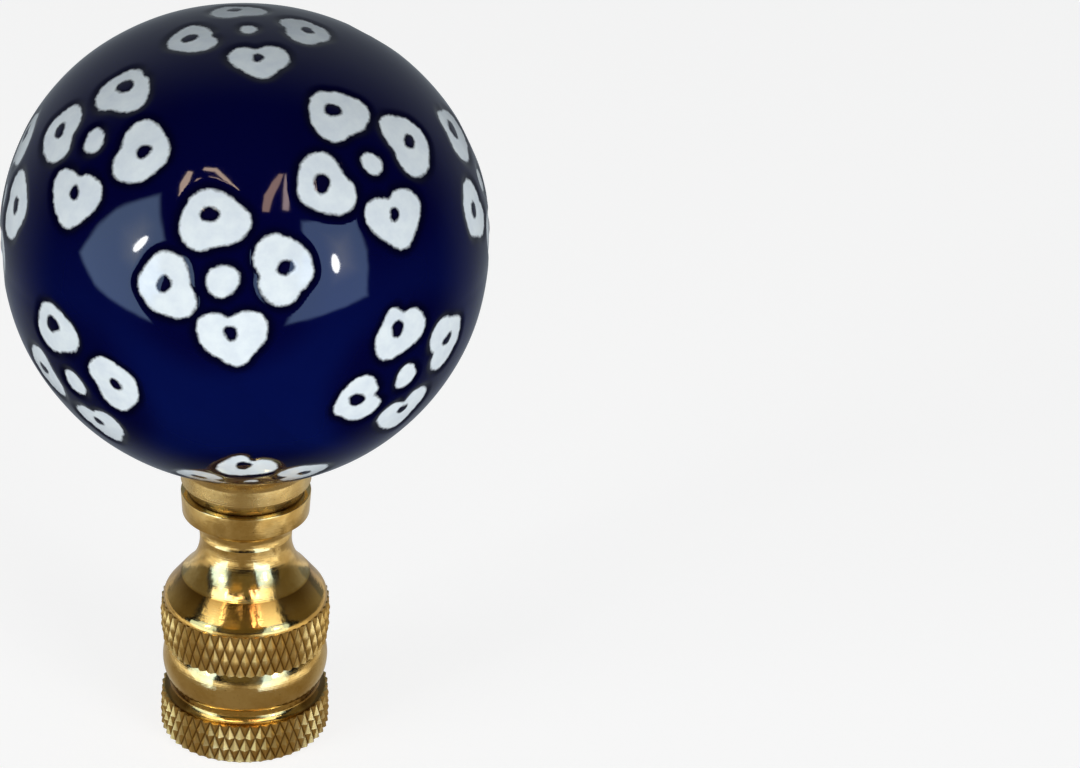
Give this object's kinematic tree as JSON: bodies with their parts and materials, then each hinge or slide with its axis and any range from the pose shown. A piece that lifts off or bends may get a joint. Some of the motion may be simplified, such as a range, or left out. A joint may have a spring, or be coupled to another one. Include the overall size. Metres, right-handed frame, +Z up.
{
  "type": "lamp shade finial",
  "caption": "Glazed ceramic ball with a painted dot-flower pattern on a turned brass seat and a knurled brass base that screws onto a lamp harp.",
  "frame": {"origin": "centre of the base's underside, on the plane the finial stands on", "axes": "+Z up along the turned axis from the base to the ball; -Y towards the viewer of the picture"},
  "size_m": [0.0336, 0.0336, 0.0558],
  "materials": {
    "glazed_ceramic": "gloss",
    "satin_brass": "satin",
    "polished_brass": "polished"
  },
  "bodies": {
    "root": {"ceramic_ball": "glazed_ceramic", "seat_collar": "satin_brass", "base": "polished_brass"}
  },
  "joints": []
}
